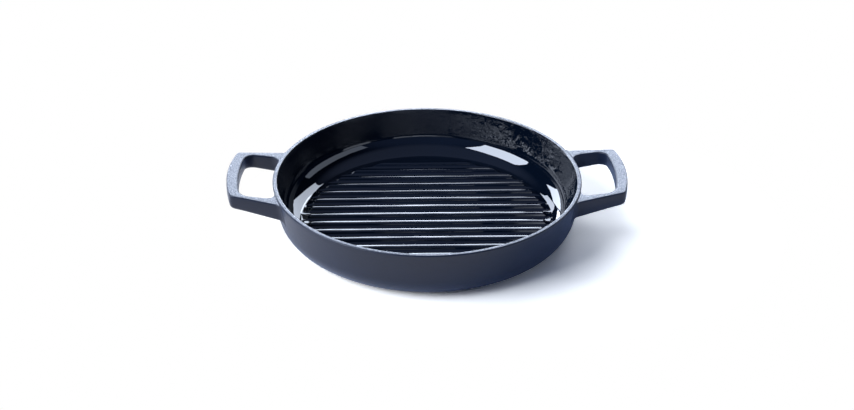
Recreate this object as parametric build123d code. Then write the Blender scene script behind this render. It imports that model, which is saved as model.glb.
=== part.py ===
from build123d import *
import math
import os

# Enamelled cast iron grill pan: a round shallow bowl with a ribbed floor and a loop
# handle cast on each side. Sizes are those of the finished, coated pan in millimetres.
# The origin is the middle of the standing face, +Z is up, and the handles lie along X.

# Pan body
rim_diameter = 280.0
rim_height = 49.0
rim_width = 4.2
rim_outer_round = 1.2
rim_inner_round = 0.8
wall_draft = 8.2
inner_wall_draft = 8.1
base_corner_radius = 24.5
floor_thickness = 5.5
floor_corner_radius = 22.0

# Grill ribs, all along X, the middle one on the centre line, as many as the floor holds
rib_pitch = 14.29
rib_height = 4.1
rib_crest_width = 4.4
rib_crest_round = 2.2
rib_root_round = 2.0
rib_draft = 15.0
rib_end_slope = 60.0
rib_end_margin = 1.0

# Loop handles
handle_projection = 41.0
finger_gap_width = 76.4
finger_gap_corner_radius = 10.0
finger_gap_end_radius = 180.0
handle_arm_root_width = 10.3
handle_arm_end_width = 3.5
handle_bar_width = 11.0
handle_end_radius = 146.0
handle_corner_radius = 4.5
handle_root_drop = 0.4
handle_rise = 7.0
handle_root_height = 15.7
handle_end_height = 12.5
handle_top_round = 1.2
handle_bottom_round = 3.2
handle_root_flare = 7.5

# Enamel
enamel_thickness = 0.4

# How far a blank runs past the surface that trims it
overrun = 5.0

rim_radius = rim_diameter / 2
rib_top = floor_thickness + rib_height
handle_top = rim_height - handle_root_drop
handle_reach = rim_radius + handle_projection
handle_root_width = finger_gap_width + 2 * handle_arm_root_width
handle_end_width = finger_gap_width + 2 * handle_arm_end_width


def slope(angle):
    return math.tan(math.radians(angle))


def shift(skin, angle):
    # Sideways shift of a surface that leans by angle when it moves into the metal by skin
    return skin / math.cos(math.radians(angle))


def outer_radius(height, skin):
    # Outside of the wall, before the base corner is rounded
    return rim_radius - (rim_height - height) * slope(wall_draft) - shift(skin, wall_draft)


def inner_radius(height, skin):
    # Inside of the wall, before the floor corner is rounded
    inside = rim_radius - rim_width - (rim_height - height) * slope(inner_wall_draft)
    return inside + shift(skin, inner_wall_draft)


def flat_radius(corner, corner_radius, draft):
    # Where a flat ends and the rounded corner below or above it begins
    return corner - corner_radius * slope((90 - draft) / 2)


standing_radius = flat_radius(outer_radius(0, 0), base_corner_radius, wall_draft)
floor_radius = flat_radius(
    inner_radius(floor_thickness, 0), floor_corner_radius, inner_wall_draft
)


def rounded(corners, rounds):
    # Closed outline through the corners, with a radius at each corner named in rounds
    face = make_face(Polyline(*corners, close=True))
    for corner, radius in rounds:
        vertex = face.vertices().sort_by_distance((corner[0], corner[1], 0))[0]
        face = fillet(vertex, radius)
    return face


def ring(section):
    # A half section, drawn with radius and height, turned all the way round
    return revolve(Plane.XZ * section, Axis.Z, 360)


def pan_section(skin):
    # Half section of floor, wall and rim, with every surface moved in by skin
    foot = (outer_radius(skin, skin), skin)
    outer_rim = (outer_radius(rim_height - skin, skin), rim_height - skin)
    inner_rim = (inner_radius(rim_height - skin, skin), rim_height - skin)
    floor_edge = (inner_radius(floor_thickness - skin, skin), floor_thickness - skin)
    corners = [(0, skin), foot, outer_rim, inner_rim, floor_edge, (0, floor_thickness - skin)]
    rounds = [
        (foot, base_corner_radius - skin),
        (outer_rim, rim_outer_round - skin),
        (inner_rim, rim_inner_round - skin),
        (floor_edge, floor_corner_radius + skin),
    ]
    return rounded(corners, rounds)


def outer_envelope(skin):
    # The pan as if it were filled to the rim, which trims the roots of the handles
    foot = (outer_radius(skin, skin), skin)
    outer_rim = (outer_radius(rim_height - skin, skin), rim_height - skin)
    corners = [(0, skin), foot, outer_rim, (0, rim_height - skin)]
    rounds = [(foot, base_corner_radius - skin), (outer_rim, rim_outer_round - skin)]
    return ring(rounded(corners, rounds))


def cooking_side():
    # Everything inside the line along which the gloss coat meets the matt coat. The line
    # runs in the metal and comes out where the flat of the rim ends.
    depth = rim_inner_round
    floor_edge = (inner_radius(floor_thickness - depth, depth), floor_thickness - depth)
    above = rim_height + overrun
    corners = [(0, floor_edge[1]), floor_edge, (inner_radius(above, depth), above), (0, above)]
    return rounded(corners, [(floor_edge, floor_corner_radius + depth)])


def rib_half_width(height, skin):
    leaning = (rib_top - height) * slope(rib_draft)
    return rib_crest_width / 2 + leaning - shift(skin, rib_draft)


def rib_section(skin):
    # Cross section of one rib standing on the floor
    base = floor_thickness - skin
    top = rib_top - skin
    base_half = rib_half_width(base, skin)
    top_half = rib_half_width(top, skin)
    crest = [(top_half, top), (-top_half, top)]
    corners = [(-base_half, base), (base_half, base)] + crest
    return rounded(corners, [(corner, rib_crest_round - skin) for corner in crest])


def coated_rib_section():
    # The same with its enamel, which pools along both roots
    below = Pos(0, floor_thickness - overrun / 2) * Rectangle(rib_pitch, overrun)
    section = rib_section(0) + below
    for root in (-rib_half_width(floor_thickness, 0), rib_half_width(floor_thickness, 0)):
        vertex = section.vertices().sort_by_distance((root, floor_thickness, 0))[0]
        section = fillet(vertex, rib_root_round)
    return section - below


def rib_end_plane(place, side, skin):
    # Sloping cut at one end of a rib, square to the floor's radius there
    edge_radius = floor_radius - rib_end_margin
    turn = math.atan2(place, side * math.sqrt(edge_radius ** 2 - place ** 2))
    lean = math.radians(rib_end_slope)
    outward = (math.cos(turn) * math.sin(lean), math.sin(turn) * math.sin(lean), math.cos(lean))
    foot = (edge_radius * math.cos(turn), edge_radius * math.sin(turn), floor_thickness)
    return Plane(origin=foot, z_dir=outward).offset(-skin)


def grill_ribs(section, skin):
    bar = extrude(Plane.YZ * section, rim_radius, both=True)
    room = floor_radius - rib_end_margin - rib_half_width(floor_thickness, 0)
    side_count = int(room / rib_pitch)
    ribs = []
    for number in range(-side_count, side_count + 1):
        place = rib_pitch * number
        rib = Pos(0, place, 0) * bar
        for side in (-1, 1):
            rib = split(rib, rib_end_plane(place, side, skin), keep=Keep.BOTTOM)
        ribs.append(rib)
    return ribs


def handle_half_width(x):
    # Half the width over both arms, which draws in from the rim to the end bar
    corner_x = handle_reach - bulge(handle_end_radius, handle_end_width / 2)
    taper = (handle_root_width - handle_end_width) / 2 / (corner_x - rim_radius)
    return handle_root_width / 2 - (x - rim_radius) * taper


def bulge(radius, half_chord):
    # Height of an arc over its chord
    return radius - math.sqrt(radius * radius - half_chord * half_chord)


# The handle blank grows out of a sector of a disc that lies in the metal of the wall
root_radius = outer_radius(handle_top - handle_root_height, rim_outer_round)
root_spread = handle_root_width / 2 + handle_root_flare
root_edge = math.sqrt(root_radius ** 2 - root_spread ** 2)
handle_start = root_edge - 2 * overrun


def end_outline(reach, half_width, root_half_width, radius, corner_radius):
    # Outline with a straight root at the wall, two sides and a bowed end with round corners
    corner_x = reach - bulge(radius, half_width)
    root = [(handle_start, -root_half_width), (handle_start, root_half_width)]
    corners = [(corner_x, half_width), (corner_x, -half_width)]
    sides = Polyline(corners[1], *root, corners[0])
    face = make_face([sides, ThreePointArc(corners[0], (reach, 0), corners[1])])
    for corner in corners:
        vertex = face.vertices().sort_by_distance((corner[0], corner[1], 0))[0]
        face = fillet(vertex, corner_radius)
    return face


def handle_plan(skin):
    # The loop seen from above, joined to a disc inside the wall with a flare at each root
    loop = end_outline(
        handle_reach,
        handle_end_width / 2,
        handle_half_width(handle_start),
        handle_end_radius,
        handle_corner_radius,
    )
    gap = end_outline(
        handle_reach - handle_bar_width,
        finger_gap_width / 2,
        finger_gap_width / 2,
        finger_gap_end_radius,
        finger_gap_corner_radius,
    )
    plan = (loop - gap) + Circle(root_radius)
    for half_width in (handle_half_width(root_radius), finger_gap_width / 2):
        for side in (-half_width, half_width):
            meet = math.sqrt(root_radius ** 2 - side ** 2)
            vertex = plan.vertices().sort_by_distance((meet, side, 0))[0]
            plan = fillet(vertex, handle_root_flare)
    reach = handle_reach + overrun
    spread = reach * root_spread / root_edge
    plan = plan & make_face(Polyline((0, 0), (reach, -spread), (reach, spread), close=True))
    return offset(plan, -skin, kind=Kind.INTERSECTION) if skin else plan


def handle_side(skin):
    # The loop seen from the side: it rises outward and gets thinner
    far = handle_reach + overrun
    fall = (handle_root_height - handle_end_height) / (handle_reach - rim_radius)
    under_slope = slope(handle_rise) + fall
    under_skin = skin * math.sqrt(1 + under_slope * under_slope)
    outline = []
    for x in (handle_start, far):
        outline.append((x, handle_top + (x - rim_radius) * slope(handle_rise) - shift(skin, handle_rise)))
    for x in (far, handle_start):
        under = handle_top - handle_root_height + (x - rim_radius) * under_slope
        outline.append((x, under + under_skin))
    return make_face(Polyline(*outline, close=True))


def in_loop(edge):
    # True for the edges of the loop and its flares, and not for those left in the wall
    middle = edge.center()
    return math.hypot(middle.X, middle.Y) > root_radius - overrun / 2


def handle_blank(skin):
    # The right handle with its root still running into the wall
    height = rim_height + handle_reach * slope(handle_rise)
    tall = extrude(handle_plan(skin), height)
    wedge = extrude(Plane.XZ * handle_side(skin), handle_root_width, both=True)
    blank = tall & wedge
    for pick, radius in ((-1, handle_top_round), (0, handle_bottom_round)):
        level = blank.faces().filter_by(GeomType.PLANE).sort_by(Axis.Z)[pick]
        edges = level.edges().filter_by(in_loop)
        blank = fillet(edges, radius - skin)
    return blank


def make_pan():
    skin = enamel_thickness
    coat = pan_section(0) - pan_section(skin)
    inside = cooking_side()
    base = Pos(standing_radius / 2, skin / 2) * Rectangle(standing_radius, skin)

    bowl = ring(pan_section(skin))
    iron_ribs = grill_ribs(rib_section(skin), skin)
    coated_ribs = grill_ribs(coated_rib_section(), 0)
    iron_blank = handle_blank(skin)
    iron_handle = iron_blank - outer_envelope(skin)
    coated_handle = handle_blank(0) - outer_envelope(0)

    nodes = {"bowl_casting": bowl}
    nodes["handle_right"] = iron_handle
    nodes["handle_left"] = mirror(iron_handle, Plane.YZ)
    for number, rib in enumerate(iron_ribs, start=1):
        nodes[f"grill_rib_{number:02d}"] = rib
    nodes["inner_enamel"] = ring(coat & inside) + coated_ribs - iron_ribs
    matt = ring(coat - inside - base)
    matt = matt + [coated_handle, mirror(coated_handle, Plane.YZ)]
    nodes["outer_enamel"] = matt - [iron_blank, mirror(iron_blank, Plane.YZ)]
    nodes["base_enamel"] = ring(base)
    return nodes


os.makedirs("parts", exist_ok=True)
for name, solid in make_pan().items():
    solid.label = name
    export_step(solid, f"parts/{name}.step")
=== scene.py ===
import math

import bmesh
import bpy
from mathutils import Euler, Matrix, Vector, noise


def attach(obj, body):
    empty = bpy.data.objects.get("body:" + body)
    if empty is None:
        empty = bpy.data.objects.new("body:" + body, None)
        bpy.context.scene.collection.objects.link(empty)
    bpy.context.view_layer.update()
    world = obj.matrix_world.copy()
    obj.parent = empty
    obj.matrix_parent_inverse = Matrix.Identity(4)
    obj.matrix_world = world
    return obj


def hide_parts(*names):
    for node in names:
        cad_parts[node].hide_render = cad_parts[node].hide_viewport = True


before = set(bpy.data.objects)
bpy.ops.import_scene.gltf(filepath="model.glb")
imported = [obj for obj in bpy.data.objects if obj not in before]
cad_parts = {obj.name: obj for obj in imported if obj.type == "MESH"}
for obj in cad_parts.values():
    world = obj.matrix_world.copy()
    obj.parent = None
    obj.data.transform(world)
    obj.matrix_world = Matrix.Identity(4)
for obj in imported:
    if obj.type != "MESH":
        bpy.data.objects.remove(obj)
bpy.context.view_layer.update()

# Enamelled cast iron grill pan. The sizes in the dictionaries are millimetres and degrees
# unless a note says otherwise, and everything is built in metres.
mm = 0.001


def linear(hexColour):
    # sRGB hex to the linear colour that Blender's sockets take
    parts = [int(hexColour[i:i + 2], 16) / 255 for i in (1, 3, 5)]
    return [p / 12.92 if p <= 0.04045 else ((p + 0.055) / 1.055) ** 2.4 for p in parts] + [1.0]


def addNode(tree, kind, inputs=None, **settings):
    # An input is a plain value, a socket, or a node, which stands for its first output
    node = tree.nodes.new(kind)
    for name, value in settings.items():
        setattr(node, name, value)
    for name, value in (inputs or {}).items():
        if isinstance(value, bpy.types.Node):
            value = value.outputs[0]
        if isinstance(value, bpy.types.NodeSocket):
            tree.links.new(value, node.inputs[name])
        else:
            node.inputs[name].default_value = value
    return node


def newPiece(name, data):
    piece = bpy.data.objects.new(name, data)
    bpy.context.scene.collection.objects.link(piece)
    return piece


def shapeTree(name, sockets):
    # Empty geometry tree with named inputs: (name, socket type, default)
    tree = bpy.data.node_groups.new(name, "GeometryNodeTree")
    tree.interface.new_socket(name="Geometry", in_out="INPUT", socket_type="NodeSocketGeometry")
    tree.interface.new_socket(name="Geometry", in_out="OUTPUT", socket_type="NodeSocketGeometry")
    for label, kind, value in sockets:
        socket = tree.interface.new_socket(name=label, in_out="INPUT", socket_type=kind)
        if value is not None:
            socket.default_value = value
    return tree, addNode(tree, "NodeGroupInput").outputs, addNode(tree, "NodeGroupOutput")


def runTree(piece, tree, values):
    # Runs the tree on the piece and keeps the result as its plain mesh
    modifier = piece.modifiers.new("shape", "NODES")
    modifier.node_group = tree
    for item in tree.interface.items_tree:
        if item.item_type == "SOCKET" and item.in_out == "INPUT" and item.name in values:
            modifier[item.identifier] = values[item.name]
    shaped = piece.evaluated_get(bpy.context.evaluated_depsgraph_get())
    mesh = bpy.data.meshes.new_from_object(shaped)
    mesh.name = piece.name
    piece.modifiers.clear()
    piece.data = mesh
    return piece


def faceOut(piece):
    # Welds what touches and turns the faces of a closed piece outwards
    edit = bmesh.new()
    edit.from_mesh(piece.data)
    bmesh.ops.remove_doubles(edit, verts=edit.verts, dist=0.002 * mm)
    bmesh.ops.recalc_face_normals(edit, faces=edit.faces)
    edit.to_mesh(piece.data)
    edit.free()


pan = {
    "rimRadius": 140.0,
    "rimHeight": 49.0,
    "rimWidth": 4.2,
    "rimOuterRound": 1.2,
    "rimInnerRound": 0.8,
    "wallLean": 8.2,
    "innerWallLean": 8.1,
    "baseRound": 24.5,
    "floorHeight": 5.5,
    "floorRound": 22.0,
    "coat": 0.34,          # drawn thickness of the enamel, just clear of the iron under it
}


def slope(angle):
    return math.tan(math.radians(angle))


def outerRadius(height, depth=0.0):
    lean = math.radians(pan["wallLean"])
    return pan["rimRadius"] - (pan["rimHeight"] - height) * math.tan(lean) - depth / math.cos(lean)


def innerRadius(height, depth=0.0):
    lean = math.radians(pan["innerWallLean"])
    inside = pan["rimRadius"] - pan["rimWidth"] - (pan["rimHeight"] - height) * math.tan(lean)
    return inside + depth / math.cos(lean)


def flatEnd(corner, cornerRound, lean):
    # Where a flat ends and the round that follows it begins
    return corner - cornerRound * slope((90 - lean) / 2)


standingRadius = flatEnd(outerRadius(0), pan["baseRound"], pan["wallLean"])
floorRadius = flatEnd(innerRadius(pan["floorHeight"]), pan["floorRound"], pan["innerWallLean"])
seamRadius = innerRadius(pan["rimHeight"]) + pan["rimInnerRound"] * slope(45 - pan["innerWallLean"] / 2)


def sectionWire(name, corners, closed):
    # A section drawn as a wire, with the round of each corner kept on its point. Heights
    # run down the wire's Y, because Curve to Mesh turns a profile's Y to minus Z.
    points = [(side * mm, -height * mm, 0) for side, height, _ in corners]
    edges = [(i, i + 1) for i in range(len(points) - 1)] + ([(len(points) - 1, 0)] if closed else [])
    mesh = bpy.data.meshes.new(name)
    mesh.from_pydata(points, edges, [])
    rounds = mesh.attributes.new("round", "FLOAT", "POINT")
    rounds.data.foreach_set("value", [r * mm for _, _, r in corners])
    return newPiece(name, mesh)


def roundedProfile(tree, wire, arcStep, straightStep):
    # Wire to curve, corners rounded, long runs divided
    curve = addNode(tree, "GeometryNodeMeshToCurve", {"Mesh": wire})
    radius = addNode(tree, "GeometryNodeInputNamedAttribute", {"Name": "round"}, data_type="FLOAT")
    steps = addNode(tree, "ShaderNodeMath", {0: radius, 1: arcStep}, operation="DIVIDE")
    enough = addNode(tree, "ShaderNodeMath", {0: steps, 1: 6.0}, operation="MAXIMUM")
    fillet = addNode(tree, "GeometryNodeFilletCurve", {
        "Curve": curve, "Count": enough, "Radius": radius, "Limit Radius": True}, mode="POLY")
    here = addNode(tree, "GeometryNodeInputPosition")
    following = addNode(tree, "GeometryNodeOffsetPointInCurve", {"Offset": 1})
    there = addNode(tree, "GeometryNodeFieldAtIndex", {"Index": following.outputs["Point Index"]},
                    data_type="FLOAT_VECTOR", domain="POINT")
    tree.links.new(here.outputs[0], there.inputs["Value"])
    gap = addNode(tree, "ShaderNodeVectorMath", {0: here, 1: there}, operation="DISTANCE")
    pieces = addNode(tree, "ShaderNodeMath", {0: gap.outputs["Value"], 1: straightStep}, operation="DIVIDE")
    cuts = addNode(tree, "ShaderNodeMath", {0: pieces}, operation="FLOOR")
    return addNode(tree, "GeometryNodeSubdivideCurve", {"Curve": fillet, "Cuts": cuts})


def unevenSurface(tree, mesh, height, size, seed):
    # Slow rise and fall of a sand cast, dipped surface, along its own normal
    place = addNode(tree, "GeometryNodeInputPosition")
    moved = addNode(tree, "ShaderNodeVectorMath", {0: place, 1: seed}, operation="ADD")
    often = addNode(tree, "ShaderNodeMath", {0: 1.0, 1: size}, operation="DIVIDE")
    waves = addNode(tree, "ShaderNodeTexNoise",
                    {"Vector": moved, "Scale": often, "Detail": 2.0, "Roughness": 0.45})
    centred = addNode(tree, "ShaderNodeMath", {0: waves, 1: 0.5}, operation="SUBTRACT")
    lift = addNode(tree, "ShaderNodeMath", {0: centred, 1: height}, operation="MULTIPLY")
    normal = addNode(tree, "GeometryNodeInputNormal")
    along = addNode(tree, "ShaderNodeVectorMath", {0: normal, "Scale": lift}, operation="SCALE")
    return addNode(tree, "GeometryNodeSetPosition", {"Geometry": mesh, "Offset": along})


def finishTree(tree, mesh, material, output):
    # Sharp corners stay sharp, and the last two nodes are the ones every tree ends in
    angle = addNode(tree, "GeometryNodeInputMeshEdgeAngle")
    corner = addNode(tree, "ShaderNodeMath", {0: angle, 1: math.radians(50)}, operation="GREATER_THAN")
    smooth = addNode(tree, "GeometryNodeSetShadeSmooth", {
        "Geometry": mesh, "Shade Smooth": True}, domain="FACE")
    sharp = addNode(tree, "GeometryNodeSetShadeSmooth", {
        "Geometry": smooth, "Selection": corner, "Shade Smooth": False}, domain="EDGE")
    real = addNode(tree, "GeometryNodeRealizeInstances", {"Geometry": sharp})
    coated = addNode(tree, "GeometryNodeSetMaterial", {"Geometry": real, "Material": material})
    tree.links.new(coated.outputs[0], output.inputs[0])


def turnedTree():
    # A section turned once round the upright axis
    tree, given, result = shapeTree("turned section", [
        ("Arc Step", "NodeSocketFloat", 1 * mm),
        ("Straight Step", "NodeSocketFloat", 4 * mm),
        ("Turns", "NodeSocketInt", 360),
        ("Wave Height", "NodeSocketFloat", 0.1 * mm),
        ("Wave Size", "NodeSocketFloat", 30 * mm),
        ("Seed", "NodeSocketVector", None),
        ("Material", "NodeSocketMaterial", None)])
    profile = roundedProfile(tree, given["Geometry"], given["Arc Step"], given["Straight Step"])
    centred = addNode(tree, "GeometryNodeSetPosition", {"Geometry": profile, "Offset": (-1 * mm, 0, 0)})
    ring = addNode(tree, "GeometryNodeCurvePrimitiveCircle", {
        "Resolution": given["Turns"], "Radius": 1 * mm})
    turned = addNode(tree, "GeometryNodeCurveToMesh", {"Curve": ring, "Profile Curve": centred})
    welded = addNode(tree, "GeometryNodeMergeByDistance", {"Geometry": turned, "Distance": 0.002 * mm})
    uneven = unevenSurface(tree, welded, given["Wave Height"], given["Wave Size"], given["Seed"])
    finishTree(tree, uneven, given["Material"], result)
    return tree


def ribTree():
    # One rib's section run along X and repeated in a row. Its length runs from -1 to 1, with
    # the stations closer together towards the ends, until the floor's size is put on it.
    tree, given, result = shapeTree("grill ribs", [
        ("Arc Step", "NodeSocketFloat", 0.25 * mm),
        ("Straight Step", "NodeSocketFloat", 1.6 * mm),
        ("Stations", "NodeSocketInt", 140),
        ("Rib Count", "NodeSocketInt", 15),
        ("First Rib", "NodeSocketVector", None),
        ("Rib Step", "NodeSocketVector", None),
        ("Material", "NodeSocketMaterial", None)])
    profile = roundedProfile(tree, given["Geometry"], given["Arc Step"], given["Straight Step"])
    line = addNode(tree, "GeometryNodeCurvePrimitiveLine", {"Start": (-1, 0, 0), "End": (1, 0, 0)})
    divided = addNode(tree, "GeometryNodeResampleCurve", {"Curve": line, "Count": given["Stations"]})
    place = addNode(tree, "GeometryNodeInputPosition")
    along = addNode(tree, "ShaderNodeSeparateXYZ", {0: place})
    quarter = addNode(tree, "ShaderNodeMath", {0: along, 1: math.pi / 2}, operation="MULTIPLY")
    eased = addNode(tree, "ShaderNodeMath", {0: quarter}, operation="SINE")
    easedPlace = addNode(tree, "ShaderNodeCombineXYZ", {"X": eased})
    path = addNode(tree, "GeometryNodeSetPosition", {"Geometry": divided, "Position": easedPlace})
    rib = addNode(tree, "GeometryNodeCurveToMesh", {"Curve": path, "Profile Curve": profile})
    row = addNode(tree, "GeometryNodeMeshLine", {
        "Count": given["Rib Count"], "Start Location": given["First Rib"], "Offset": given["Rib Step"]},
        mode="OFFSET")
    placed = addNode(tree, "GeometryNodeInstanceOnPoints", {"Points": row, "Instance": rib})
    finishTree(tree, placed, given["Material"], result)
    return tree


def newMaterial(name):
    material = bpy.data.materials.new(name)
    material.use_nodes = True
    material.node_tree.nodes.clear()
    return material, material.node_tree


def glossEnamel():
    # Black porcelain enamel, sprayed wet and fired until it flows: a deep blue black glass
    # skin that mirrors the room, calm on the floor and rippled like orange peel on part of the
    # wall. It mirrors twice as much as plain enamel, so the softboxes can stay soft.
    material, tree = newMaterial("black gloss porcelain enamel")
    place = addNode(tree, "ShaderNodeTexCoord").outputs["Object"]
    cloud = addNode(tree, "ShaderNodeTexNoise", {"Vector": place, "Scale": 1 / (45 * mm), "Detail": 3.0})
    colour = addNode(tree, "ShaderNodeMix", {
        0: cloud, 6: linear("#040b17"), 7: linear("#07111f")}, data_type="RGBA")
    # Ripples about 4 mm across where the spray ran thick, at the back right of the wall, which
    # fade out where the wall turns into the floor
    where = addNode(tree, "ShaderNodeSeparateXYZ", {0: place})
    high = addNode(tree, "ShaderNodeMapRange", {
        "Value": where.outputs["Z"], "From Min": 20 * mm, "From Max": 34 * mm, "To Min": 0.0, "To Max": 1.0})
    thick = addNode(tree, "ShaderNodeMapRange", {
        "Value": where.outputs["X"], "From Min": 18 * mm, "From Max": 55 * mm, "To Min": 0.03, "To Max": 1.0})
    behind = addNode(tree, "ShaderNodeMapRange", {
        "Value": where.outputs["Y"], "From Min": 30 * mm, "From Max": 75 * mm, "To Min": 0.15, "To Max": 1.0})
    wall = addNode(tree, "ShaderNodeMath", {0: high, 1: thick}, operation="MULTIPLY")
    wall = addNode(tree, "ShaderNodeMath", {0: wall, 1: behind}, operation="MULTIPLY")
    peel = addNode(tree, "ShaderNodeTexNoise", {
        "Vector": place, "Scale": 1 / (7 * mm), "Detail": 2.0, "Roughness": 0.5, "Distortion": 0.4})
    ripple = addNode(tree, "ShaderNodeMath", {0: peel, 1: wall}, operation="MULTIPLY")
    normal = addNode(tree, "ShaderNodeBump", {"Height": ripple, "Distance": 0.5 * mm, "Strength": 1.0})
    calm = addNode(tree, "ShaderNodeTexNoise", {"Vector": place, "Scale": 1 / (10 * mm), "Detail": 2.0})
    normal = addNode(tree, "ShaderNodeBump", {
        "Height": calm, "Distance": 0.05 * mm, "Strength": 1.0, "Normal": normal})
    smear = addNode(tree, "ShaderNodeTexNoise", {"Vector": place, "Scale": 1 / (18 * mm), "Detail": 3.0})
    dull = addNode(tree, "ShaderNodeMapRange", {
        "Value": smear, "From Min": 0.35, "From Max": 0.7, "To Min": 0.01, "To Max": 0.02})
    # The wall opposite the ripples is a little duller, so the ribs aren't seen again in it
    haze = addNode(tree, "ShaderNodeMapRange", {
        "Value": where.outputs["X"], "From Min": 10 * mm, "From Max": 45 * mm, "To Min": 0.2, "To Max": 0.0})
    dullWall = addNode(tree, "ShaderNodeMath", {0: haze, 1: high, 2: dull}, operation="MULTIPLY_ADD")
    shader = addNode(tree, "ShaderNodeBsdfPrincipled", {
        "Base Color": colour.outputs[2], "Roughness": dullWall, "IOR": 1.6, "Specular IOR Level": 0.8,
        "Normal": normal})
    addNode(tree, "ShaderNodeOutputMaterial", {"Surface": shader})
    return material


def mattEnamel():
    # Matt slate enamel, dusted on and fired short of flowing: fine grit stands in it, so it
    # scatters a broad dull sheen
    material, tree = newMaterial("matt slate enamel")
    place = addNode(tree, "ShaderNodeTexCoord").outputs["Object"]
    cloud = addNode(tree, "ShaderNodeTexNoise", {"Vector": place, "Scale": 1 / (35 * mm), "Detail": 3.0})
    colour = addNode(tree, "ShaderNodeMix", {
        0: cloud, 6: linear("#0b1528"), 7: linear("#111e36")}, data_type="RGBA")
    # Grit of about 0.3 mm, drawn at 1.1 mm, because finer would not show at the render's size
    grit = addNode(tree, "ShaderNodeTexNoise", {
        "Vector": place, "Scale": 1 / (1.1 * mm), "Detail": 1.0, "Roughness": 0.5})
    swell = addNode(tree, "ShaderNodeTexNoise", {"Vector": place, "Scale": 1 / (9 * mm), "Detail": 1.0})
    normal = addNode(tree, "ShaderNodeBump", {"Height": swell, "Distance": 0.05 * mm, "Strength": 1.0})
    normal = addNode(tree, "ShaderNodeBump", {
        "Height": grit, "Distance": 0.16 * mm, "Strength": 1.0, "Normal": normal})
    dull = addNode(tree, "ShaderNodeMapRange", {
        "Value": grit, "From Min": 0.3, "From Max": 0.7, "To Min": 0.46, "To Max": 0.34})
    # On the flats that face up, the colour is mixed towards pale grey in a fine speckle: a painted sheen
    # standing in for the grazing light the tops catch
    facing = addNode(tree, "ShaderNodeSeparateXYZ", {
        0: addNode(tree, "ShaderNodeTexCoord").outputs["Normal"]})
    flat = addNode(tree, "ShaderNodeMapRange", {
        "Value": facing.outputs["Z"], "From Min": 0.955, "From Max": 0.985})
    grain = addNode(tree, "ShaderNodeMapRange", {
        "Value": grit, "From Min": 0.4, "From Max": 0.6, "To Min": 0.35, "To Max": 1.0})
    paintedTopSheen = addNode(tree, "ShaderNodeMath", {0: flat, 1: grain}, operation="MULTIPLY")
    # The pale grey here is painted sheen on the tops, not a colour of the enamel
    colour = addNode(tree, "ShaderNodeMix", {
        0: paintedTopSheen, 6: colour.outputs[2], 7: linear("#9c9fa5")}, data_type="RGBA")
    shader = addNode(tree, "ShaderNodeBsdfPrincipled", {
        "Base Color": colour.outputs[2], "Roughness": dull, "IOR": 1.52, "Sheen Weight": 0.3,
        "Sheen Roughness": 0.4, "Sheen Tint": linear("#d3dcee"), "Normal": normal})
    addNode(tree, "ShaderNodeOutputMaterial", {"Surface": shader})
    return material


def baseEnamel():
    # The same matt enamel on the standing face, rubbed smoother and greyer where it has slid
    # on a hob
    material, tree = newMaterial("matt enamel of the standing face")
    place = addNode(tree, "ShaderNodeTexCoord").outputs["Object"]
    cloud = addNode(tree, "ShaderNodeTexNoise", {"Vector": place, "Scale": 1 / (30 * mm), "Detail": 3.0})
    rub = addNode(tree, "ShaderNodeTexNoise", {"Vector": place, "Scale": 1 / (14 * mm), "Detail": 4.0})
    rubbed = addNode(tree, "ShaderNodeMapRange", {
        "Value": rub, "From Min": 0.55, "From Max": 0.7, "To Min": 0.0, "To Max": 0.6})
    coat = addNode(tree, "ShaderNodeMix", {
        0: cloud, 6: linear("#1f242d"), 7: linear("#2b313b")}, data_type="RGBA")
    colour = addNode(tree, "ShaderNodeMix", {
        0: rubbed, 6: coat.outputs[2], 7: linear("#434951")}, data_type="RGBA")
    # Grit of about 0.3 mm here too, drawn coarser for the same reason
    grit = addNode(tree, "ShaderNodeTexNoise", {"Vector": place, "Scale": 1 / (0.9 * mm), "Detail": 2.0})
    normal = addNode(tree, "ShaderNodeBump", {"Height": grit, "Distance": 0.07 * mm, "Strength": 1.0})
    dull = addNode(tree, "ShaderNodeMapRange", {
        "Value": rubbed, "From Min": 0.0, "From Max": 0.6, "To Min": 0.55, "To Max": 0.38})
    shader = addNode(tree, "ShaderNodeBsdfPrincipled", {
        "Base Color": colour.outputs[2], "Roughness": dull, "IOR": 1.5, "Normal": normal})
    addNode(tree, "ShaderNodeOutputMaterial", {"Surface": shader})
    return material


def castIron():
    # Grey iron as it leaves a sand mould, before enamelling: dark, rough and grainy
    material, tree = newMaterial("sand cast grey iron")
    place = addNode(tree, "ShaderNodeTexCoord").outputs["Object"]
    grain = addNode(tree, "ShaderNodeTexNoise", {"Vector": place, "Scale": 1 / (0.8 * mm), "Detail": 3.0})
    cloud = addNode(tree, "ShaderNodeTexNoise", {"Vector": place, "Scale": 1 / (12 * mm), "Detail": 3.0})
    colour = addNode(tree, "ShaderNodeMix", {
        0: cloud, 6: linear("#3b3a38"), 7: linear("#4c4946")}, data_type="RGBA")
    normal = addNode(tree, "ShaderNodeBump", {"Height": grain, "Distance": 0.15 * mm, "Strength": 1.0})
    dull = addNode(tree, "ShaderNodeMapRange", {
        "Value": grain, "From Min": 0.3, "From Max": 0.7, "To Min": 0.5, "To Max": 0.75})
    shader = addNode(tree, "ShaderNodeBsdfPrincipled", {
        "Base Color": colour.outputs[2], "Metallic": 1.0, "Roughness": dull, "Normal": normal})
    addNode(tree, "ShaderNodeOutputMaterial", {"Surface": shader})
    return material


glossCoat = glossEnamel()
mattCoat = mattEnamel()
baseCoat = baseEnamel()
bareIron = castIron()
print("materials ready")


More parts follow.
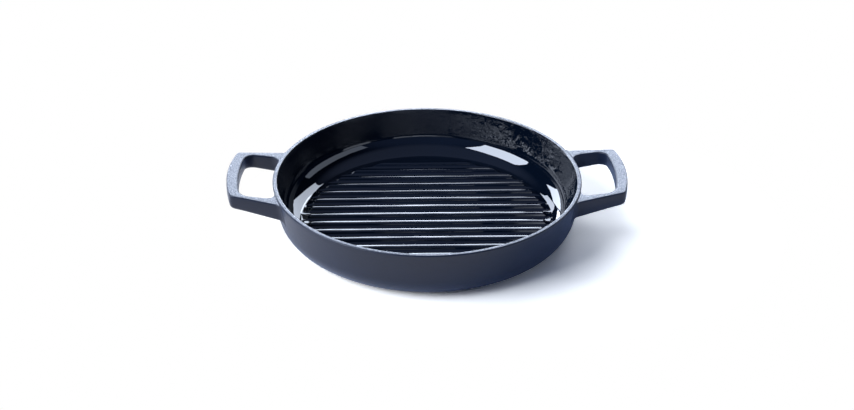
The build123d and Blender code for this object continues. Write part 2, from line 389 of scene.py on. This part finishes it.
def bowlPieces():
    turned = turnedTree()
    coat = pan["coat"]
    top = pan["rimHeight"]
    bed = pan["floorHeight"]
    lining = [
        (0, bed, 0), (innerRadius(bed), bed, pan["floorRound"]),
        (innerRadius(top), top, pan["rimInnerRound"]), (seamRadius, top, 0),
        (seamRadius, top - coat, 0),
        (innerRadius(top - coat, coat), top - coat, pan["rimInnerRound"] - coat),
        (innerRadius(bed - coat, coat), bed - coat, pan["floorRound"] + coat), (0, bed - coat, 0)]
    outside = [
        (seamRadius, top, 0), (outerRadius(top), top, pan["rimOuterRound"]),
        (outerRadius(0), 0, pan["baseRound"]), (standingRadius, 0, 0),
        (standingRadius, coat, 0), (outerRadius(coat, coat), coat, pan["baseRound"] - coat),
        (outerRadius(top - coat, coat), top - coat, pan["rimOuterRound"] - coat),
        (seamRadius, top - coat, 0)]
    foot = [(0, 0, 0), (standingRadius, 0, 0), (standingRadius, coat, 0), (0, coat, 0)]
    made = {}
    for name, corners, material, wave, size in (
            ("gloss_lining", lining, glossCoat, 0.16, 38), ("matt_outside", outside, mattCoat, 0.12, 32),
            ("standing_face", foot, baseCoat, 0.0, 30)):
        piece = runTree(sectionWire(name, corners, True), turned, {
            "Arc Step": 1 * mm, "Straight Step": 4 * mm, "Turns": 360, "Wave Height": wave * mm,
            "Wave Size": size * mm, "Seed": (0.3, 0.1, 0.2), "Material": material})
        faceOut(piece)
        made[name] = piece
        print(name, len(piece.data.polygons), "faces")
    return made


ribs = {
    "pitch": 14.29,
    "height": 4.1,
    "crestWidth": 5.0,     # the section, coat and all, with a slight dome between the crest's rounds
    "crestRound": 1.8,
    "crestDome": 0.28,
    "domeRound": 10.5,
    "rootRound": 3.1,
    "lean": 9.5,
    "endSlope": 60.0,
    "endMargin": 1.0,
    "endSoften": 0.3,
    "tailHeight": 0.9,     # below this a rib thins out over the tail's length, up the floor's round
    "tailLength": 6.0,
    "proud": 0.01,         # the sheet between the ribs lies this far over the lining
    "skirt": 0.25,         # and its edge goes this far down into it
    "waveHeight": 0.09,
    "waveSize": 19.0,
    "sideWaveSize": 22.0,
}


def ribPiece():
    endRadius = floorRadius - ribs["endMargin"]
    crest = ribs["crestWidth"] / 2
    root = crest + ribs["height"] * slope(ribs["lean"])
    shoulder = ribs["height"] - ribs["crestDome"]
    count = 2 * int((endRadius - root) / ribs["pitch"]) + 1
    section = [
        (-ribs["pitch"] / 2, 0, 0), (-root, 0, ribs["rootRound"]), (-crest, shoulder, ribs["crestRound"]),
        (0, ribs["height"], ribs["domeRound"]), (crest, shoulder, ribs["crestRound"]),
        (root, 0, ribs["rootRound"]), (ribs["pitch"] / 2, 0, 0)]
    piece = runTree(sectionWire("gloss_ribs", section, False), ribTree(), {
        "Arc Step": 0.45 * mm, "Straight Step": 1.8 * mm, "Stations": 100, "Rib Count": count,
        "First Rib": (0, -(count - 1) / 2 * ribs["pitch"] * mm, 0), "Rib Step": (0, ribs["pitch"] * mm, 0),
        "Material": glossCoat})
    edit = bmesh.new()
    edit.from_mesh(piece.data)
    bmesh.ops.remove_doubles(edit, verts=edit.verts, dist=0.001 * mm)
    for vertex in edit.verts:
        # Cut to the floor's circle, brought down along a slope at both ends, and run out as a
        # low tail of pooled enamel up the floor's round
        y, z = vertex.co.y / mm, vertex.co.z / mm
        x = vertex.co.x * math.sqrt((endRadius + ribs["tailLength"]) ** 2 - y ** 2)
        left = endRadius - math.hypot(x, y)
        tail = ribs["tailHeight"] * min(max(1 + left / ribs["tailLength"], 0.0), 1.0)
        ramp = tail + max(left, 0.0) * slope(ribs["endSlope"])
        over = max(math.hypot(x, y) - floorRadius, 0.0)
        bed = pan["floorHeight"] + pan["floorRound"] - math.sqrt(pan["floorRound"] ** 2 - over ** 2)
        soft = max(ribs["endSoften"] - abs(z - ramp) / max(z, 0.01), 0.0) / ribs["endSoften"]
        low = min(z, ramp) - soft ** 3 * ribs["endSoften"] * z / 6
        wave = noise.noise(Vector((x, y, z)) / ribs["waveSize"]) * ribs["waveHeight"]
        sway = 2 * ribs["waveHeight"] * low / ribs["height"]
        side = noise.noise(Vector((x / ribs["sideWaveSize"], y, 40))) * sway
        vertex.co = (x * mm, (y + side) * mm, (low + wave + bed + ribs["proud"]) * mm)
    border = [edge for edge in edit.edges if edge.is_boundary]
    hung = bmesh.ops.extrude_edge_only(edit, edges=border)["geom"]
    bmesh.ops.translate(edit, verts=[part for part in hung if isinstance(part, bmesh.types.BMVert)],
                        vec=(0, 0, -ribs["skirt"] * mm))
    edit.to_mesh(piece.data)
    edit.free()
    print("gloss_ribs", count, "ribs,", len(piece.data.polygons), "faces")
    return piece


handle = {
    "projection": 41.0,
    "gapWidth": 76.4,
    "gapCorner": 10.0,
    "gapEndRadius": 180.0,
    "armRootWidth": 10.3,
    "armEndWidth": 3.5,
    "barWidth": 11.0,
    "endRadius": 146.0,
    "corner": 4.5,
    "drop": 0.4,
    "rise": 7.0,
    "rootHeight": 15.7,
    "endHeight": 12.5,
    "topRound": 1.2,
    "bottomRound": 3.2,
    "sideBulge": 0.2,
    "topDome": 0.1,
    # How far each fillet at the wall reaches along the arm, and how much width it adds
    "outerFillet": (3.6, 3.7),
    "gapFillet": (9.4, 9.4),
    "underFillet": (3.1, 3.4),
    "topFillet": (0.5, 0.3),
    "armStations": 24,
    "cornerStations": 36,
    "barStations": 16,
    "rootDepth": 0.8,
    "unevenness": 0.06,
    "unevenSize": 14.0,
}


def mixed(a, b, share):
    return a + (b - a) * share


def fillet(distance, sizes):
    reach, width = sizes
    if distance >= reach:
        return 0.0
    return width * (1 - math.sqrt(1 - (1 - max(distance, 0.0) / reach) ** 2))


def roundedEnd(start, direction, centre, radius, corner):
    # A side that meets a bowed end in a round corner: the two points where the corner
    # begins and ends, and its middle
    inward = Vector((direction.y, -direction.x))
    base = start + inward * corner - centre
    half = base.dot(direction)
    run = -half + math.sqrt(half * half - base.dot(base) + (radius - corner) ** 2)
    middle = centre + base + direction * run
    return middle - inward * corner, centre + (middle - centre).normalized() * radius, middle


def arcPoints(a, b, middle, count):
    # Points on the arc from a to b about middle, a first and b last
    start, end = a - middle, b - middle
    whole = math.atan2(start.x * end.y - start.y * end.x, start.dot(end))
    points = []
    for step in range(count + 1):
        turn = Matrix.Rotation(whole * step / count, 2)
        points.append(middle + turn @ start)
    return points


def handlePlan():
    # The loop's plan on the +Y side: its arm's root and taper, and the pairs of points on
    # its gap and its outer edge from the end of the arm to the middle of the bar
    reach = pan["rimRadius"] + handle["projection"]
    gapHalf = handle["gapWidth"] / 2
    rootHalf = gapHalf + handle["armRootWidth"]
    endHalf = gapHalf + handle["armEndWidth"]
    cornerX = reach - (handle["endRadius"] - math.sqrt(handle["endRadius"] ** 2 - endHalf ** 2))
    taper = (rootHalf - endHalf) / (cornerX - pan["rimRadius"])
    outerCentre = Vector((reach - handle["endRadius"], 0))
    gapCentre = Vector((reach - handle["barWidth"] - handle["gapEndRadius"], 0))
    start, end, middle = roundedEnd(Vector((pan["rimRadius"], rootHalf)), Vector((1, -taper)).normalized(),
                                    outerCentre, handle["endRadius"], handle["corner"])
    outerEdge = [Vector((pan["rimRadius"], rootHalf))] + arcPoints(start, end, middle, 40)
    outerEdge += arcPoints(end, Vector((reach, 0)), outerCentre, 80)[1:] + [Vector((reach, -1))]
    start, end, middle = roundedEnd(Vector((pan["rimRadius"], gapHalf)), Vector((1, 0)),
                                    gapCentre, handle["gapEndRadius"], handle["gapCorner"])
    bar = arcPoints(end, Vector((reach - handle["barWidth"], 0)), gapCentre, handle["barStations"])
    gapEdge = [(point, middle) for point in arcPoints(start, end, middle, handle["cornerStations"])]
    gapEdge += [(point, gapCentre) for point in bar[1:]]
    pairs = []
    for point, centre in gapEdge:
        # Straight out from the gap to the outer edge
        out = (point - centre).normalized()
        for a, b in zip(outerEdge, outerEdge[1:]):
            before = out.x * (a.y - point.y) - out.y * (a.x - point.x)
            after = out.x * (b.y - point.y) - out.y * (b.x - point.x)
            if before >= 0 > after:
                pairs.append((point, a + (b - a) * (before / (before - after))))
                break
    return rootHalf, taper, pairs


def loopOutline():
    # Section of the loop as (side, side round, up, up round): flats are shared out between
    # the corners, and a round is added in millimetres
    points = []
    for step in range(6):
        angle = math.radians(90 - 90 * step / 5)
        points.append((1, math.cos(angle), 1, math.sin(angle)))
    points += [(1, 1, up, 0) for up in (0.5, 0.0, -0.5)]
    for step in range(8):
        angle = math.radians(-90 * step / 7)
        points.append((1, math.cos(angle), -1, math.sin(angle)))
    points += [(side, 0, -1, -1) for side in (0.6, 0.2, -0.2, -0.6)]
    for step in range(8):
        angle = math.radians(-90 - 90 * step / 7)
        points.append((-1, math.cos(angle), -1, math.sin(angle)))
    points += [(-1, -1, up, 0) for up in (-0.5, 0.0, 0.5)]
    for step in range(6):
        angle = math.radians(180 - 90 * step / 5)
        points.append((-1, math.cos(angle), 1, math.sin(angle)))
    points += [(side, 0, 1, 1) for side in (-0.7, -0.35, 0.0, 0.35, 0.7)]
    return points


def topAt(x):
    return pan["rimHeight"] - handle["drop"] + (x - pan["rimRadius"]) * slope(handle["rise"])


def underAt(x):
    fall = (handle["rootHeight"] - handle["endHeight"]) / handle["projection"]
    return topAt(x) - handle["rootHeight"] + (x - pan["rimRadius"]) * fall


def acrossLoop(point, width):
    # How far a point of the outline lies from the middle of the section
    side, sideRound, up, upRound = point
    radius = handle["topRound"] if up > 0 else handle["bottomRound"]
    half = width / 2 - handle["sideBulge"]
    if abs(side) == 1 and upRound == 0:
        return side * (half + handle["sideBulge"] * (1 - up * up))
    return side * (half - radius) + sideRound * radius


def upLoop(point, under, top):
    side, sideRound, up, upRound = point
    radius = handle["topRound"] if up > 0 else handle["bottomRound"]
    middle, half = (under + top) / 2, (top - under) / 2
    if abs(up) < 1:
        high, low = half - handle["topRound"], -half + handle["bottomRound"]
        return middle + mixed(low, high, (up + 1) / 2)
    dome = handle["topDome"] * (1 - side * side) if up > 0 else 0
    return middle + up * (half - radius) + upRound * radius + dome


def loopRings():
    rootHalf, taper, pairs = handlePlan()
    outline = loopOutline()
    gapHalf = handle["gapWidth"] / 2
    gapStop, outerStop = pairs[0][0].length, pairs[0][1].length
    rings = []
    count = handle["armStations"]
    for station in range(count):
        # Stations of the arm follow the wall at its root and run square across at its end
        share = (station / count) ** 1.6
        settle = min(max((share - 0.3) / 0.7, 0.0), 1.0)
        settle = settle * settle * (3 - 2 * settle)
        ring = []
        for point in outline:
            height, outerY = 40.0, 50.0
            for _ in range(8):
                wall = outerRadius(height)
                gapOff = share * (gapStop - wall)
                outerOff = share * (outerStop - wall)
                gapY = gapHalf - fillet(gapOff, handle["gapFillet"])
                for _ in range(3):
                    outerX = math.sqrt((wall + outerOff) ** 2 - outerY ** 2)
                    outerY = rootHalf - (outerX - pan["rimRadius"]) * taper
                    outerY += fillet(outerOff, handle["outerFillet"])
                gapX = math.sqrt((wall + gapOff) ** 2 - gapY ** 2)
                y = (gapY + outerY) / 2 + acrossLoop(point, outerY - gapY)
                portion = (y - gapY) / (outerY - gapY)
                off = mixed(gapOff, outerOff, portion)
                x = mixed(math.sqrt((wall + off) ** 2 - y * y), mixed(gapX, outerX, portion), settle)
                height = upLoop(point, underAt(x) - fillet(off, handle["underFillet"]),
                                topAt(x) + fillet(off, handle["topFillet"]))
            ring.append((x, y, height))
        rings.append(ring)
    for gapPoint, outerPoint in pairs:
        width = (outerPoint - gapPoint).length
        ring = []
        for point in outline:
            place = gapPoint + (outerPoint - gapPoint) * (acrossLoop(point, width) / width + 0.5)
            ring.append((place.x, place.y, upLoop(point, underAt(place.x), topAt(place.x))))
        rings.append(ring)
    return rings + [[(x, -y, z) for x, y, z in ring] for ring in reversed(rings[:-1])]


def loopPiece(name, sign):
    rings = loopRings()
    size = len(rings[0])
    points = [Vector((sign * x, y, z)) for ring in rings for x, y, z in ring]
    faces = []
    for number in range(len(rings) - 1):
        for i in range(size):
            a, b = number * size + i, number * size + (i + 1) % size
            faces.append((a, b, b + size, a + size))
    # Both roots end inside the wall
    for number in (0, len(rings) - 1):
        inner = [points[number * size + i] - Vector((sign * handle["rootDepth"], 0, 0)) for i in range(size)]
        start = len(points)
        points += inner
        for i in range(size):
            following = (i + 1) % size
            faces.append((number * size + i, number * size + following, start + following, start + i))
        points.append(sum(inner, Vector()) / size)
        faces += [(start + i, start + (i + 1) % size, len(points) - 1) for i in range(size)]
    for point in points:
        point += noise.noise_vector(point / handle["unevenSize"]) * handle["unevenness"]
    mesh = bpy.data.meshes.new(name)
    mesh.from_pydata([point * mm for point in points], [], faces)
    mesh.materials.append(mattCoat)
    mesh.shade_smooth()
    piece = newPiece(name, mesh)
    faceOut(piece)
    print(name, len(piece.data.polygons), "faces")
    return piece


bowl = bowlPieces()
grill = ribPiece()
loopRight = loopPiece("matt_loop_right", 1)
loopLeft = loopPiece("matt_loop_left", -1)

for piece, node, finish in (
        (bowl["gloss_lining"], "inner_enamel", "gloss_enamel"), (grill, "inner_enamel", "gloss_enamel"),
        (bowl["matt_outside"], "outer_enamel", "matt_enamel"), (loopRight, "outer_enamel", "matt_enamel"),
        (loopLeft, "outer_enamel", "matt_enamel"), (bowl["standing_face"], "base_enamel", "matt_enamel")):
    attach(piece, "root")
    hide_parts(node)

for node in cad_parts.values():
    if not node.hide_render:
        node.data.materials.clear()
        node.data.materials.append(bareIron)
print("pieces ride on the casting")


studio = {
    "floorSize": 12.0,             # metres, as are the other studio sizes
    "floorColour": "#b0c1e2",
    "floorSeen": "#faf3e6",        # the camera sees the paper whiter, as an exposure for a dark pan does
    "exposure": 2.0,
    "whiteMiddle": (0.07, 0.0),
    "whiteFrom": 0.15,             # the floor runs out to plain white from here to here
    "whiteTo": 0.26,
    "whiteStretch": (1, 1.25, 1),
    "underPan": 0.0003,
    "dark": "#0c1018",
    "overhead": "#58637f",
    "front": "#3c4a6b",
}

# Softboxes: the azimuth they stand at, clockwise from straight back, and the elevation, the
# angles they span, their distance in metres, and their brightness, where 1 is a white floor
softboxes = {
    "left": (-109.5, 34.5, 50, 36, 2.5, 9.4, "#e1ecff"),
    "back left": (-36.5, 20, 25, 22, 2.5, 9.0, "#e1ecff"),
    "back middle": (-4, 20.5, 36, 7, 2.5, 17.0, "#e1ecff"),
    "back top": (-4, 34, 36, 8, 2.5, 6.0, "#e1ecff"),
    "back right": (25.5, 29, 28, 28, 2.5, 4.3, "#e1ecff"),
    "right": (96.5, 20, 63, 20, 2.5, 0.95, "#d8e6ff"),
}


def studioFloor():
    mesh = bpy.data.meshes.new("floor")
    half = studio["floorSize"] / 2
    corners = [(-half, -half), (half, -half), (half, half), (-half, half)]
    mesh.from_pydata([(x, y, -studio["underPan"]) for x, y in corners], [], [(0, 1, 2, 3)])
    floor = newPiece("floor", mesh)
    material, tree = newMaterial("pale studio paper")
    rays = addNode(tree, "ShaderNodeLightPath").outputs
    seenTone = [part * studio["exposure"] for part in linear(studio["floorSeen"])[:3]] + [1.0]
    tone = addNode(tree, "ShaderNodeMix", {
        0: rays["Is Camera Ray"], 6: linear(studio["floorColour"]), 7: seenTone}, data_type="RGBA")
    paper = addNode(tree, "ShaderNodeBsdfDiffuse", {"Color": tone.outputs[2]})
    white = addNode(tree, "ShaderNodeEmission", {"Color": (1, 1, 1, 1), "Strength": 1.0})
    place = addNode(tree, "ShaderNodeTexCoord").outputs["Object"]
    off = addNode(tree, "ShaderNodeVectorMath", {
        0: place, 1: (*studio["whiteMiddle"], 0)}, operation="SUBTRACT")
    wide = addNode(tree, "ShaderNodeVectorMath", {0: off, 1: studio["whiteStretch"]}, operation="MULTIPLY")
    far = addNode(tree, "ShaderNodeVectorMath", {0: wide}, operation="LENGTH").outputs["Value"]
    share = addNode(tree, "ShaderNodeMapRange", {
        "Value": far, "From Min": studio["whiteFrom"], "From Max": studio["whiteTo"]},
        interpolation_type="SMOOTHSTEP")
    seen = addNode(tree, "ShaderNodeMath", {0: rays["Is Camera Ray"], 1: rays["Is Glossy Ray"]},
                   operation="MAXIMUM")
    seen = addNode(tree, "ShaderNodeMath", {0: seen, 1: rays["Is Transmission Ray"]}, operation="MAXIMUM")
    factor = addNode(tree, "ShaderNodeMath", {0: share, 1: seen}, operation="MULTIPLY")
    both = addNode(tree, "ShaderNodeMixShader", {0: factor, 1: paper, 2: white})
    addNode(tree, "ShaderNodeOutputMaterial", {"Surface": both})
    mesh.materials.append(material)


def studioWorld():
    # A dim room: dark to the sides, lighter overhead and behind the camera
    world = bpy.data.worlds.new("studio")
    bpy.context.scene.world = world
    world.use_nodes = True
    tree = world.node_tree
    tree.nodes.clear()
    place = addNode(tree, "ShaderNodeTexCoord").outputs["Generated"]
    towards = addNode(tree, "ShaderNodeSeparateXYZ", {0: place})
    high = addNode(tree, "ShaderNodeMapRange", {
        "Value": towards.outputs["Z"], "From Min": 0.62, "From Max": 0.86}, interpolation_type="SMOOTHSTEP")
    near = addNode(tree, "ShaderNodeMapRange", {
        "Value": towards.outputs["Y"], "From Min": -0.35, "From Max": -0.85}, interpolation_type="SMOOTHSTEP")
    sides = addNode(tree, "ShaderNodeMix", {
        0: near, 6: linear(studio["dark"]), 7: linear(studio["front"])}, data_type="RGBA")
    room = addNode(tree, "ShaderNodeMix", {
        0: high, 6: sides.outputs[2], 7: linear(studio["overhead"])}, data_type="RGBA")
    back = addNode(tree, "ShaderNodeBackground", {"Color": room.outputs[2], "Strength": 1.0})
    addNode(tree, "ShaderNodeOutputWorld", {"Surface": back})


def addSoftbox(name, azimuth, elevation, wide, tall, distance, brightness, tint):
    width = 2 * distance * slope(wide / 2) * math.cos(math.radians(elevation))
    height = 2 * distance * slope(tall / 2)
    light = bpy.data.lights.new(name, "AREA")
    light.shape = "RECTANGLE"
    light.size, light.size_y = width, height
    light.energy = brightness * math.pi * width * height
    light.color = linear(tint)[:3]
    lamp = newPiece(name, light)
    a, e = math.radians(azimuth), math.radians(elevation)
    towards = Vector((math.sin(a) * math.cos(e), math.cos(a) * math.cos(e), math.sin(e)))
    lamp.location = Vector((0, 0, pan["floorHeight"] * mm)) + towards * distance
    lamp.rotation_euler = towards.to_track_quat("Z", "Y").to_euler()
    lamp.visible_camera = False


camera = {
    "place": (-0.02928, -1.21720, 0.71140),
    "azimuth": 1.3755,
    "down": 29.6569,
    "roll": 0.145,
    "lens": 64.413,
}


def addCamera():
    data = bpy.data.cameras.new("camera")
    data.lens = camera["lens"]
    data.sensor_width = 36.0
    data.clip_start, data.clip_end = 0.01, 50
    viewer = newPiece("camera", data)
    viewer.location = camera["place"]
    turn = Euler((math.radians(90 - camera["down"]), 0, math.radians(-camera["azimuth"]))).to_matrix()
    turn = turn @ Matrix.Rotation(math.radians(camera["roll"]), 3, "Z")
    viewer.rotation_euler = turn.to_euler()
    bpy.context.scene.camera = viewer


studioFloor()
studioWorld()
for name, values in softboxes.items():
    addSoftbox(name, *values)
addCamera()
bpy.context.scene.view_settings.view_transform = "Standard"
print("studio ready")
